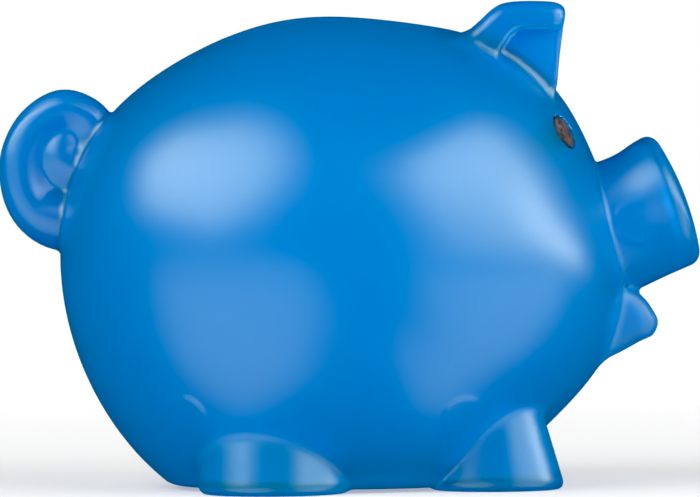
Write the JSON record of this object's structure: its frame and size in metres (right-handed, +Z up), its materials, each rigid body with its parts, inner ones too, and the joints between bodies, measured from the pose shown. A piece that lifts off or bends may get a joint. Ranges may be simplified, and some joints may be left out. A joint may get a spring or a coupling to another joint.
{
  "type": "piggy bank",
  "caption": "Translucent pig-shaped money box in two moulded halves, with a coin slot on the back and a push-in stopper in the base.",
  "frame": {"origin": "centre of the bounding box on the plane the soles stand on", "axes": "+X towards the snout, +Y towards the pig's left side, +Z up"},
  "size_m": [0.1118, 0.072, 0.0768],
  "materials": {
    "right_shell_plastic": "satin, translucent clear blue",
    "left_shell_plastic": "satin, translucent clear blue",
    "right_eye_plastic": "gloss, dark brown",
    "left_eye_plastic": "gloss, dark brown",
    "stopper_plastic": "soft satin, translucent blue"
  },
  "bodies": {
    "pig": {"right_shell": "right_shell_plastic", "left_shell": "left_shell_plastic", "right_eye": "right_eye_plastic", "left_eye": "left_eye_plastic"},
    "stopper": {"stopper": "stopper_plastic"}
  },
  "joints": [
    {"name": "stopper_pull", "type": "slide", "parent": "pig", "child": "stopper", "axis": [0, 0, -1], "range_m": [0, 0.03]}
  ]
}
